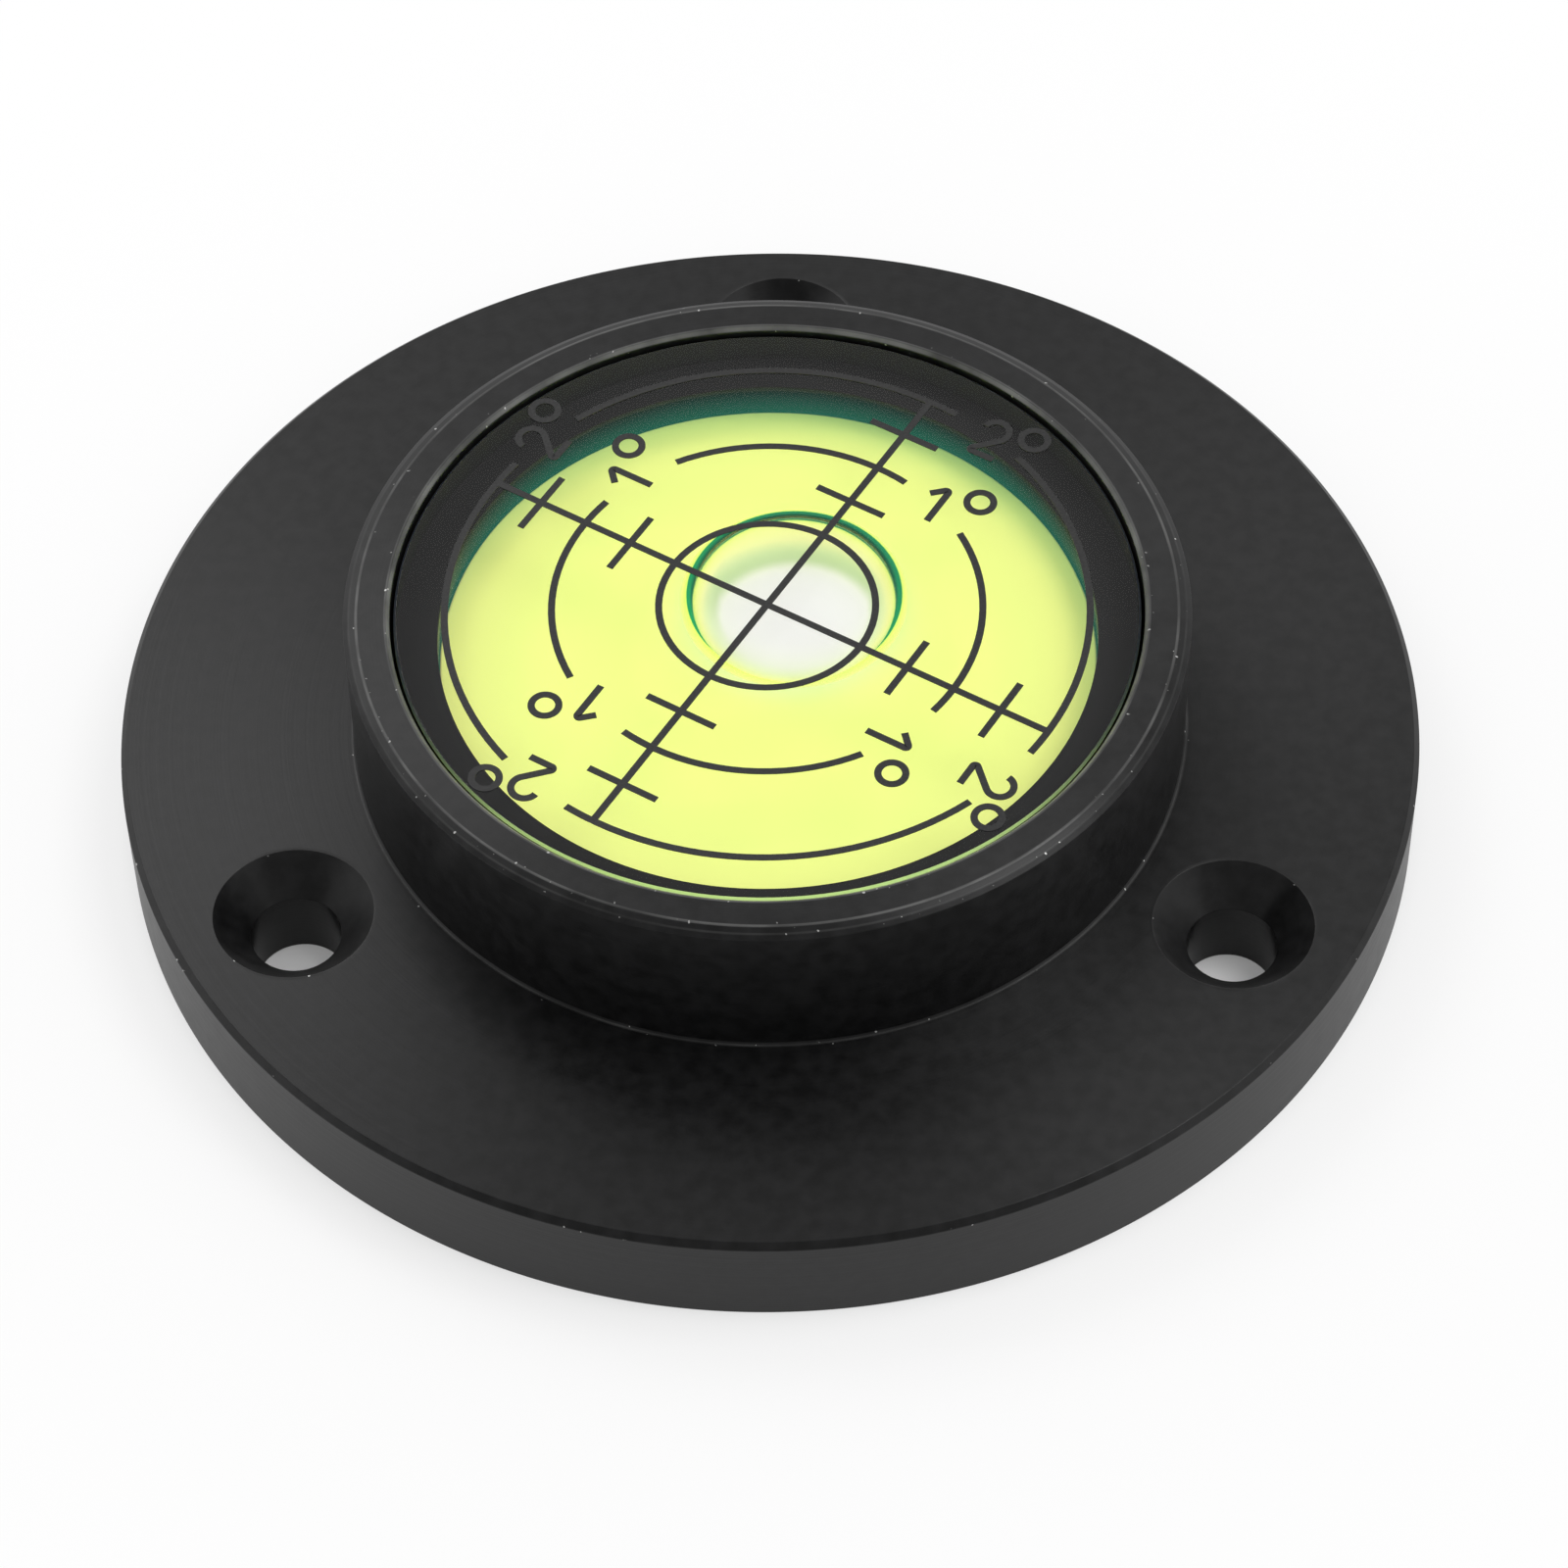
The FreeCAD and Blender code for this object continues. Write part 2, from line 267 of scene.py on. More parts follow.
def settle(piece: bpy.types.Object, slot: Slot, *nodes: str) -> None:
    """Rides the piece on the part's body and hides the nodes it stands for."""
    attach(piece, BODY)
    if nodes:
        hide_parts(*nodes)
    LOG.info("%s: %d faces", piece.name, len(piece.data.polygons))


# Materials


class Graph:
    """Adds and links nodes in one node tree."""

    def __init__(self, tree: bpy.types.NodeTree) -> None:
        """Keeps the tree that the nodes go into."""
        self.tree = tree

    def feed(self, socket: Socket, value: object) -> None:
        """Links a socket into the socket, or sets it to a plain value."""
        if isinstance(value, bpy.types.NodeSocket):
            self.tree.links.new(value, socket)
        else:
            socket.default_value = value

    def node(self, kind: str, inputs: dict | None = None, **settings: object) -> bpy.types.Node:
        """Adds a node.

        Args:
            kind: Its type name.
            inputs: Sockets or plain values by input name or number.
            settings: Properties of the node.

        Returns:
            The node.
        """
        made = self.tree.nodes.new(kind)
        for name, value in settings.items():
            setattr(made, name, value)
        for key, value in (inputs or {}).items():
            self.feed(made.inputs[key], value)
        return made

    def maths(self, operation: str, *values: object, clamp: bool = False) -> Socket:
        """Adds a Math node and returns its value."""
        inputs = dict(enumerate(values))
        return self.node("ShaderNodeMath", inputs, operation=operation, use_clamp=clamp).outputs[0]

    def vector(self, operation: str, *values: object) -> bpy.types.Node:
        """Adds a Vector Math node."""
        return self.node("ShaderNodeVectorMath", dict(enumerate(values)), operation=operation)

    def mixed(self, share: object, first: object, second: object) -> Socket:
        """Adds a colour mix and returns its colour."""
        inputs = {0: share, 6: first, 7: second}
        return self.node("ShaderNodeMix", inputs, data_type="RGBA").outputs[2]

    def ramp(self, value: object, low: object, high: object) -> Socket:
        """Adds a smooth step that runs from 0 at low to 1 at high."""
        inputs = {"Value": value, "From Min": low, "From Max": high}
        made = self.node("ShaderNodeMapRange", inputs, interpolation_type="SMOOTHSTEP")
        return made.outputs["Result"]

    def between(self, share: Socket, low: object, high: object) -> Socket:
        """Adds a straight blend of two values and returns it."""
        inputs = {"Value": share, "To Min": low, "To Max": high}
        return self.node("ShaderNodeMapRange", inputs).outputs["Result"]

    def effect(self, tree: bpy.types.NodeTree, **inputs: float) -> Socket:
        """Adds a node group and returns its output."""
        return self.node("ShaderNodeGroup", inputs, node_tree=tree).outputs[0]

    def bump(self, height: Socket, depth: float, strength: float = 1.0) -> Socket:
        """Adds a bump of this depth and returns its normal."""
        inputs = {"Strength": strength, "Distance": depth, "Height": height}
        return self.node("ShaderNodeBump", inputs).outputs[0]

    def principled(self, inputs: dict) -> Socket:
        """Adds a Principled shader and returns it."""
        return self.node("ShaderNodeBsdfPrincipled", inputs).outputs[0]

    def hypotenuse(self, first: Socket, second: Socket) -> Socket:
        """Adds sqrt(first^2 + second^2) and returns it."""
        square = [self.maths("MULTIPLY", part, part) for part in (first, second)]
        return self.maths("SQRT", self.maths("ADD", *square))

    def point(self) -> Socket:
        """Adds the object coordinates."""
        return self.node("ShaderNodeTexCoord").outputs["Object"]

    def parts(self, vector: Socket) -> bpy.types.bpy_prop_collection:
        """Adds a split of the vector and returns its X, Y and Z."""
        return self.node("ShaderNodeSeparateXYZ", {0: vector}).outputs

    def place(self) -> dict[str, Socket]:
        """Adds the point as seen from its turning axis, with its radius R and height Z."""
        axis = self.node("ShaderNodeAttribute", attribute_name=AXIS).outputs["Vector"]
        arm = self.vector("SUBTRACT", self.point(), axis).outputs[0]
        x, y, z = self.parts(arm)
        return {"arm": arm, "R": self.hypotenuse(x, y), "Z": z}


def emptied(holder: bpy.types.Material | bpy.types.World) -> Graph:
    """Clears the nodes of a material or a world and returns their graph."""
    holder.use_nodes = True
    holder.node_tree.nodes.clear()
    return Graph(holder.node_tree)


def solid(colour: Colour, share: float = 1.0) -> tuple[float, float, float, float]:
    """The colour times the share, with full alpha."""
    return (*(share * part for part in colour), 1.0)


class Effect(Graph):
    """Node group with one output, whose sockets are plain numbers."""

    def __init__(self, name: str, output: str, **inputs: float) -> None:
        """Makes the group with its inputs at these values."""
        super().__init__(bpy.data.node_groups.new(name, "ShaderNodeTree"))
        sides = [(output, "OUTPUT"), *((label, "INPUT") for label in inputs)]
        for label, side in sides:
            made = self.tree.interface.new_socket(
                name=label, in_out=side, socket_type="NodeSocketFloat"
            )
            made.default_value = inputs.get(label, 0.0)
        self.given = self.node("NodeGroupInput").outputs

    def finish(self, value: Socket) -> bpy.types.NodeTree:
        """Gives out the value and returns the group."""
        self.node("NodeGroupOutput", {0: value})
        return self.tree


def turning_marks() -> bpy.types.NodeTree:
    """Fine rings of a lathe tool: noise along the sum of radius and height.

    On a flat the height is constant and the lines are rings, and on a wall they lie round it.
    """
    graph = Effect("turning_marks", "Height", Pitch=0.1 * MM)
    place = graph.place()
    travel = graph.maths("ADD", place["R"], place["Z"])
    inputs = {"W": graph.maths("DIVIDE", travel, graph.given["Pitch"]), "Scale": 1.0, "Detail": 2.0}
    return graph.finish(graph.node("ShaderNodeTexNoise", inputs, noise_dimensions="1D").outputs[0])


def fine_grain() -> bpy.types.NodeTree:
    """Even grain of a matt or satin surface: noise in three dimensions, 0 to 1."""
    graph = Effect("fine_grain", "Value", Size=0.2 * MM, Detail=3.0)
    scale = graph.maths("DIVIDE", 1.0, graph.given["Size"])
    inputs = {"Vector": graph.point(), "Scale": scale, "Detail": graph.given["Detail"]}
    return graph.finish(graph.node("ShaderNodeTexNoise", inputs).outputs[0])


def edge_line() -> bpy.types.NodeTree:
    """Band round one turned edge: 1 up to EDGE_CORE of the width from it, 0 from the width on.

    The distance is sqrt((r - Radius)^2 + (z - Height)^2).
    """
    graph = Effect("edge_line", "Mask", Radius=20 * MM, Height=14 * MM, Width=0.1 * MM)
    place, width = graph.place(), graph.given["Width"]
    across = graph.maths("SUBTRACT", place["R"], graph.given["Radius"])
    above = graph.maths("SUBTRACT", place["Z"], graph.given["Height"])
    away = graph.hypotenuse(across, above)
    return graph.finish(graph.ramp(away, width, graph.maths("MULTIPLY", width, EDGE_CORE)))


def pass_light(graph: Graph, glass: Socket) -> Socket:
    """Lets lamp light through glass: transparent for shadow and diffuse rays, glass for others."""
    path = graph.node("ShaderNodeLightPath").outputs
    share = graph.maths("MAXIMUM", path["Is Shadow Ray"], path["Is Diffuse Ray"])
    clear = graph.node("ShaderNodeBsdfTransparent").outputs[0]
    return graph.node("ShaderNodeMixShader", {0: share, 1: glass, 2: clear}).outputs[0]


def seen(graph: Graph) -> Socket:
    """1 for camera, glossy and transmission rays, and 0 for those that only light."""
    path = graph.node("ShaderNodeLightPath").outputs
    total = graph.maths("ADD", path["Is Camera Ray"], path["Is Glossy Ray"])
    return graph.maths("ADD", total, path["Is Transmission Ray"], clamp=True)


@dataclass
class Effects:
    """Node groups that several materials share."""

    turning: bpy.types.NodeTree = field(default_factory=turning_marks)
    grain: bpy.types.NodeTree = field(default_factory=fine_grain)
    edge: bpy.types.NodeTree = field(default_factory=edge_line)


class Finish:
    """Look of a surface; each kind adds its own nodes."""

    name: str

    def shaders(self, graph: Graph, effects: Effects) -> dict[str, Socket]:
        """Adds the nodes and returns the shaders by input of the material's output.

        Args:
            graph: The material's graph.
            effects: Shared node groups.

        Returns:
            The shader of the surface, and that of the volume if there is one.
        """
        raise NotImplementedError

    def material(self, effects: Effects) -> bpy.types.Material:
        """Builds the material."""
        made = bpy.data.materials.new(self.name)
        graph = emptied(made)
        graph.node("ShaderNodeOutputMaterial", self.shaders(graph, effects))
        return made


@dataclass(frozen=True)
class WornAndHighlitEdge:
    """Edge with a light line of rubbed bare metal, which also serves as a painted highlight along
    it.
    """

    radius: float
    height: float
    width: float
    wear_and_highlight: float  # 0 black to 1 bare metal


@dataclass(frozen=True)
class AnodisedFinish(Finish):
    """Black anodised aluminium, finely turned, with light lines along its edges: rubbed bare metal
    that also serves as painted highlight.
    """

    edges: tuple[WornAndHighlitEdge, ...]
    name: str = "anodised_metal"
    colour: Colour = (0.0045, 0.0045, 0.0047)
    tones: tuple[float, float] = (0.4, 2.0)  # shares of the colour where it is darkest and palest
    cloud_size: float = 0.9 * MM  # of the darker and the paler places
    cloud_noise: tuple[float, float] = (0.2, 0.8)  # noise where they are darkest and palest
    # colour of the light edge lines: bare metal, also a painted highlight
    bare_metal_highlight: Colour = (0.5, 0.5, 0.49)
    bare_metallic: float = 0.7
    roughness: float = 0.36
    unevenness: float = 0.08  # of the roughness, by the turning marks and by the clouds
    ior: float = 1.4
    spread: float = 0.75  # how much further gloss spreads across the turning marks than along
    spread_turn: float = 0.25  # whole turns from the marks to the way of the spread
    mark_pitch: float = 0.16 * MM
    mark_depth: float = 0.003 * MM
    wear_size: float = 3.0 * MM  # of the stretches of an edge that are worn more or less
    least_wear: float = 0.45  # share of the wear where an edge is worn least
    nick_size: float = 0.22 * MM
    nick_noise: tuple[float, float] = (0.81, 0.86)  # noise where a nick begins and where it is bare
    nick_reach: float = 2.5  # half width of the band that has nicks, in widths of the worn line

    def wear_and_highlight_mask(self, graph: Graph, effects: Effects) -> Socket:
        """Light lines along the edges, 0 to 1: rubbed bare metal and painted highlight, uneven and
        with a few nicks.

        Args:
            graph: The material's graph.
            effects: Shared node groups.

        Returns:
            The mask.
        """
        uneven = graph.effect(effects.grain, Size=self.wear_size)
        share = graph.maths("ADD", graph.ramp(uneven, *NOISE_SPAN), self.least_wear)
        spots = graph.effect(effects.grain, Size=self.nick_size, Detail=0.0)
        nicks = graph.ramp(spots, *self.nick_noise)
        total = 0.0
        for edge in self.edges:
            place = {"Radius": edge.radius, "Height": edge.height}
            line = graph.effect(effects.edge, Width=edge.width, **place)
            band = graph.effect(effects.edge, Width=self.nick_reach * edge.width, **place)
            wear_and_highlight = graph.maths("MULTIPLY", line, edge.wear_and_highlight)
            nicked = graph.maths("MULTIPLY", nicks, band)
            total = graph.maths("MAXIMUM", graph.maths("MAXIMUM", wear_and_highlight, nicked), total)
        return graph.maths("MULTIPLY", total, share, clamp=True)

    def shaders(self, graph: Graph, effects: Effects) -> dict[str, Socket]:
        """Adds the nodes; gloss is drawn out across the marks, whose direction is the tangent."""
        marks = graph.effect(effects.turning, Pitch=self.mark_pitch)
        clouds = graph.effect(effects.grain, Size=self.cloud_size)
        dark, pale = (solid(self.colour, tone) for tone in self.tones)
        black = graph.mixed(graph.ramp(clouds, *self.cloud_noise), dark, pale)
        # light edge lines: wear and painted highlight
        wear_and_highlight_mask = self.wear_and_highlight_mask(graph, effects)
        along = graph.vector("CROSS_PRODUCT", (0.0, 0.0, 1.0), graph.place()["arm"]).outputs[0]
        base = self.roughness - self.unevenness
        rough = graph.maths("MULTIPLY_ADD", marks, self.unevenness, base)
        return {"Surface": graph.principled({
            "Base Color": graph.mixed(wear_and_highlight_mask, black, solid(self.bare_metal_highlight)),
            "Metallic": graph.maths("MULTIPLY", wear_and_highlight_mask, self.bare_metallic),
            "Roughness": graph.maths("MULTIPLY_ADD", clouds, self.unevenness, rough),
            "IOR": self.ior,
            "Anisotropic": self.spread,
            "Anisotropic Rotation": self.spread_turn,
            "Tangent": graph.vector("NORMALIZE", along).outputs[0],
            "Normal": graph.bump(marks, self.mark_depth),
        })}


@dataclass(frozen=True)
class WettedFinish(Finish):
    """Black wall under the liquid, faintly turned."""

    name: str = "wetted_wall"
    colour: Colour = (0.004, 0.005, 0.004)
    roughness: float = 0.15
    ior: float = 1.05
    mark_depth: float = 0.003 * MM

    def shaders(self, graph: Graph, effects: Effects) -> dict[str, Socket]:
        """Adds the nodes."""
        return {"Surface": graph.principled({
            "Base Color": solid(self.colour),
            "Roughness": self.roughness,
            "IOR": self.ior,
            "Normal": graph.bump(graph.effect(effects.turning), self.mark_depth),
        })}


@dataclass(frozen=True)
class LensFinish(Finish):
    """Clear acrylic face, polished or ground."""

    name: str
    roughness: float = 0.0
    reflection: float = 0.3  # share of the plain reflection that is left
    ior: float = 1.49
    colour: Colour = (1.0, 1.0, 1.0)

    def shaders(self, graph: Graph, effects: Effects) -> dict[str, Socket]:
        """Adds the nodes."""
        glass = graph.principled({
            "Base Color": solid(self.colour),
            "Roughness": self.roughness,
            "IOR": self.ior,
            "Transmission Weight": 1.0,
            "Specular Tint": solid((self.reflection,) * 3),
        })
        return {"Surface": pass_light(graph, glass)}


@dataclass(frozen=True)
class LiquidFinish(Finish):
    """Clear fluorescent liquid: takes out blue light, and a painted glow in its volume, in place of
    its fluorescence, shows green where it is deep.
    """

    name: str = "level_liquid"
    ior: float = 1.40
    density: float = 265.0
    passed: Colour = (0.985, 1.0, 0.28)
    # painted glow: emission of the volume in place of the liquid's fluorescence
    glow: Colour = (0.02, 1.0, 0.84)
    painted_glow_strength: float = 28.0

    def shaders(self, graph: Graph, effects: Effects) -> dict[str, Socket]:
        """Adds the nodes of the surface, which reflects nothing, and those of the volume."""
        face = graph.principled({
            "Base Color": solid((1.0, 1.0, 1.0)),
            "Roughness": 0.0,
            "IOR": self.ior,
            "Transmission Weight": 1.0,
            "Specular Tint": solid((0.0, 0.0, 0.0)),
        })
        taken = {"Color": solid(self.passed), "Density": self.density}
        given = {"Color": solid(self.glow), "Strength": self.painted_glow_strength}
        absorption = graph.node("ShaderNodeVolumeAbsorption", taken).outputs[0]
        # painted glow of the volume
        glow = graph.node("ShaderNodeEmission", given).outputs[0]
        both = graph.node("ShaderNodeAddShader", {0: absorption, 1: glow}).outputs[0]
        return {"Surface": pass_light(graph, face), "Volume": both}


@dataclass(frozen=True)
class DiscFinish(Finish):
    """Matt white disc, which the liquid over it lights yellow-green, helped by a painted glow, with
    a painted shade by the bubble.
    """

    bubble: Array  # place of the bubble's axis
    height: float  # of the disc's top
    name: str = "white_plastic"
    colour: Colour = (0.9, 0.9, 0.89)
    roughness: float = 0.6
    unevenness: float = 0.1
    ior: float = 1.1
    # painted glow of the disc under the liquid, in place of light that the liquid gives it
    glow: Colour = (0.18, 0.04, 0.02)
    # painted glow of the dry patch under the bubble
    painted_dry_glow: Colour = (0.1, 0.07, 0.1)
    # painted shade: a darker ring round the bubble's foot, mixed into the base colour
    shade: Colour = (0.55, 0.68, 0.46)  # where the bubble's far edge bends the light away
    behind: float = 0.4 * MM  # from the bubble's axis back to the middle of the shade
    dry: float = 3.9 * MM  # radii from that middle, between which the shade comes and goes
    darkest: float = 4.7 * MM
    wet: float = 6.4 * MM
    dim: float = 5.0 * MM  # radii from it, between which the glow under the liquid begins
    glowing: float = 6.6 * MM
    # painted shadow of the chamber's wall: away from this middle the painted glow fades
    lit: Place = (-0.4 * MM, -1.6 * MM)  # middle of the evenly lit part
    even: float = 15.0 * MM  # radii from that middle, between which the glow fades
    faded: float = 18.1 * MM

    def shaders(self, graph: Graph, effects: Effects) -> dict[str, Socket]:
        """Adds the nodes: a ring of painted shade on the bubble's far side, and painted glow
        outside it that fades as painted shadow towards the far walls.
        """
        grain = graph.effect(effects.grain)
        point, (across, back) = graph.point(), self.bubble
        away, outward = (
            graph.vector("DISTANCE", point, (*middle, self.height)).outputs["Value"]
            for middle in ((across, back + self.behind), self.lit)
        )
        come, go = (graph.ramp(away, edge, self.darkest) for edge in (self.dry, self.wet))
        far = graph.ramp(graph.parts(point)["Y"], back - self.dry, back + self.dry)
        # painted shade ring, on the bubble's far side only
        shaded = graph.maths("MULTIPLY", graph.maths("MULTIPLY", come, go), far)
        # painted shadow: the painted glow fades towards the far walls
        painted_shadow_fade = graph.ramp(outward, self.faded, self.even)
        glow = graph.mixed(painted_shadow_fade, solid((0.0, 0.0, 0.0)), solid(self.glow))
        under = graph.ramp(away, self.dim, self.glowing)
        return {"Surface": graph.principled({
            "Base Color": graph.mixed(shaded, solid(self.colour), solid(self.shade)),
            "Roughness": graph.maths("MULTIPLY_ADD", grain, self.unevenness, self.roughness),
            "IOR": self.ior,
            # painted glow, on the dry patch and under the liquid
            "Emission Color": graph.mixed(under, solid(self.painted_dry_glow), glow),
            "Emission Strength": 1.0,
        })}


@dataclass(frozen=True)
class GrainedFinish(Finish):
    """Black ink or rubber with a fine grain."""

    name: str
    colour: Colour
    grain_size: float
    roughness: float
    ior: float
    tones: tuple[float, float] = (1.0, 1.0)  # shares of the colour where it is darkest and palest
    unevenness: float = 0.2  # of the roughness
    grain_depth: float = 0.0
    grain_strength: float = 0.5

    def shaders(self, graph: Graph, effects: Effects) -> dict[str, Socket]:
        """Adds the nodes."""
        grain = graph.effect(effects.grain, Size=self.grain_size)
        dark, pale = (solid(self.colour, tone) for tone in self.tones)
        return {"Surface": graph.principled({
            "Base Color": graph.mixed(graph.ramp(grain, *NOISE_SPAN), dark, pale),
            "Roughness": graph.maths("MULTIPLY_ADD", grain, self.unevenness, self.roughness),
            "IOR": self.ior,
            "Normal": graph.bump(grain, self.grain_depth, self.grain_strength),
        })}


INK = GrainedFinish("black_ink", (0.016,) * 3, 0.12 * MM, roughness=0.4, ior=1.4, tones=(0.7, 1.5))
RUBBER = GrainedFinish(
    "black_seal", (0.021,) * 3, 0.2 * MM, roughness=0.55, ior=1.1, grain_depth=0.01 * MM
)


@dataclass(frozen=True)
class FloorFinish(Finish):
    """Pale floor that looks plain white away from the level and keeps its soft shadow."""

    name: str = "pale_floor"
    colour: Colour = (0.9, 0.9, 0.9)
    roughness: float = 0.8
    specular: float = 0.1
    under: float = 0.12  # share of plain white in its look under the level
    beside: float = 0.7  # the same just beside the level
    away: float = 1.0  # the same well away from it
    reach: tuple[float, float, float] = (30 * MM, 34 * MM, 80 * MM)  # radii of these shares

    def shaders(self, graph: Graph, effects: Effects) -> dict[str, Socket]:
        """Adds the nodes: plain white mixed over the matt floor, for rays that see it."""
        matt = graph.principled({
            "Base Color": solid(self.colour),
            "Roughness": self.roughness,
            "Specular IOR Level": self.specular,
        })
        glow = {"Color": solid((1.0, 1.0, 1.0)), "Strength": 1.0}
        white = graph.node("ShaderNodeEmission", glow).outputs[0]
        radius, (first, second, last) = graph.place()["R"], self.reach
        near = graph.maths("MULTIPLY", graph.ramp(radius, first, second), self.beside - self.under)
        far = graph.maths("MULTIPLY", graph.ramp(radius, second, last), self.away - self.beside)
        plain = graph.maths("ADD", graph.maths("ADD", near, far), self.under)
        share = graph.maths("MULTIPLY", seen(graph), plain)
        mixed = graph.node("ShaderNodeMixShader", {0: share, 1: matt, 2: white})
        return {"Surface": mixed.outputs[0]}


# Pieces


@dataclass(frozen=True)
class Measures:
    """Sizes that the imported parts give."""

    flange_radius: float
    rim_top: float
    lens_radius: float
    lens_top: float
    lens_seat: float
    ledge_height: float
    chamber_radius: float
    disc_radius: float
    disc_top: float
    pocket_floor: float
    dome_top: float
    hole_circle: float
    hole_radius: float
    hole_count: int

    @classmethod
    def of_parts(cls) -> "Measures":
        """Reads the boxes of the nodes and the bolt pattern of the record."""
        boxes = {node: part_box(node) for node in frame["nodes"]}
        mounts = {mount["name"]: mount["dims"] for mount in frame["record"]["mounts"]}
        holes = mounts["fixing_holes"]
        return cls(
            flange_radius=boxes["housing"][1].x,
            rim_top=boxes["housing"][1].z,
            lens_radius=boxes["lens"][1].x,
            lens_top=boxes["lens"][1].z,
            lens_seat=boxes["lens"][0].z,
            ledge_height=boxes["seal_ring"][0].z,
            chamber_radius=boxes["liquid"][1].x,
            disc_radius=boxes["white_disc"][1].x,
            disc_top=boxes["white_disc"][1].z,
            pocket_floor=boxes["white_disc"][0].z,
            dome_top=boxes["liquid"][1].z,
            hole_circle=holes["pcd_mm"] * MM / 2,
            hole_radius=holes["hole_r_mm"] * MM,
            hole_count=holes["count"],
        )

    @property
    def dome_radius(self) -> float:
        """Radius of the ball through the chamber's edge at the seat and the dome's top."""
        rise = self.dome_top - self.lens_seat
        return (self.chamber_radius**2 + rise**2) / (2 * rise)

    def dome_height(self, radius: Array) -> Array:
        """Height of the lens's underside: top of the ball less what it drops at the radius."""
        drop = self.dome_radius - np.sqrt(self.dome_radius**2 - radius**2)
        return self.dome_top - drop


@dataclass
class Housing:
    """Turned flange and boss with a stepped pocket and countersunk holes."""

    measures: Measures
    flange_thickness: float = 5.5 * MM
    rim_wall: float = 2.32 * MM
    lens_gap: float = 0.18 * MM
    countersink_radius: float = 4.0 * MM
    flange_chamfer: float = 0.3 * MM
    foot_chamfer: float = 0.05 * MM
    rim_bevel: tuple[float, float] = (0.66 * MM, 0.3 * MM)  # width and drop
    rim_break: tuple[float, float] = (0.27 * MM, 0.14 * MM)  # corner half way down the bevel
    rim_inner_chamfer: float = 0.2 * MM
    boss_root: float = 0.12 * MM
    edge: float = 0.06 * MM  # rounding where two machined faces meet
    margin: float = 0.15 * MM  # from the flat between the chamfers to the chamfers
    columns: int = 480
    rows: int = 16
    patch_half: int = 16  # columns to each side of a hole
    patch_rows: int = 8  # from the edge of that patch to the hole

    def band(self) -> Array:
        """Profile of the flange's edge, from its underside round to its top."""
        outer, thick = self.measures.flange_radius, self.flange_thickness
        chamfer, foot = self.flange_chamfer, self.foot_chamfer
        return outline(
            (outer - chamfer - self.margin, 0, 0),
            (outer - foot, 0, foot / 4),
            (outer, foot, foot / 4),
            (outer, thick - chamfer, self.edge),
            (outer - chamfer, thick, self.edge),
            (outer - chamfer - self.margin, thick, 0),
        )

    def boss(self) -> Array:
        """Profile of the boss, from its root up over the rim and down the bore."""
        bore, wall = self.bore_radius, self.wall_radius
        top, thick = self.measures.rim_top, self.flange_thickness
        return outline(
            (wall + self.boss_root + self.margin, thick, 0),
            (wall + self.boss_root, thick, self.edge / 2),
            (wall, thick + self.boss_root, self.edge / 2),
            (wall, top - self.rim_bevel[1], self.edge / 2),
            (wall - self.rim_break[0], top - self.rim_break[1], self.edge / 2),
            (wall - self.rim_bevel[0], top, self.edge),
            (bore + self.rim_inner_chamfer, top, self.edge),
            (bore, top - self.rim_inner_chamfer, self.edge),
            (bore, self.measures.ledge_height, 0),
        )

    @property
    def bore_radius(self) -> float:
        """Radius of the bore that holds the lens."""
        return self.measures.lens_radius + self.lens_gap

    @property
    def wall_radius(self) -> float:
        """Outer radius of the boss."""
        return self.bore_radius + self.rim_wall

    def worn_and_highlit_edges(self) -> tuple[WornAndHighlitEdge, ...]:
        """Edges with light lines: rubbed by handling, and set also as painted highlight."""
        bore, wall, top = self.bore_radius, self.wall_radius, self.measures.rim_top
        break_width, break_drop = self.rim_break
        inner = self.rim_inner_chamfer
        thick, outer = self.flange_thickness, self.measures.flange_radius
        # light lines: wear, with widths and strengths set also as painted highlight
        return (
            WornAndHighlitEdge(wall - self.rim_bevel[0], top, 0.1 * MM, 0.12),
            WornAndHighlitEdge(wall - break_width, top - break_drop, 0.08 * MM, 0.03),
            WornAndHighlitEdge(bore + inner, top, 0.12 * MM, 0.12),
            WornAndHighlitEdge(bore + inner / 2, top - inner / 2, 0.18 * MM, 0.22),
            WornAndHighlitEdge(wall + self.boss_root, thick, 0.1 * MM, 0.05),
            WornAndHighlitEdge(outer, thick - self.flange_chamfer, 0.05 * MM, 0.01),
            WornAndHighlitEdge(self.countersink_radius, thick, 0.05 * MM, 0.015),
        )

    def chamber(self) -> Array:
        """Profile of the ledge, the chamber's wall and its floor."""
        size = self.measures
        return outline(
            (self.bore_radius, size.ledge_height, 0),
            (size.chamber_radius, size.ledge_height, self.edge / 2),
            (size.chamber_radius, size.pocket_floor, 0),
            (0, size.pocket_floor, 0),
        )

    def hole(self) -> Array:
        """Profile of a hole, from the flange's top down the countersink and out below."""
        size, thick = self.measures, self.flange_thickness
        throat = thick - (self.countersink_radius - size.hole_radius)
        return outline(
            (self.countersink_radius + self.margin, thick, 0),
            (self.countersink_radius, thick, self.edge / 2),
            (size.hole_radius, throat, self.edge / 2),
            (size.hole_radius, self.edge, 0),
            (size.hole_radius + self.edge, 0, 0),
            (size.hole_radius + self.edge + self.margin, 0, 0),
        )

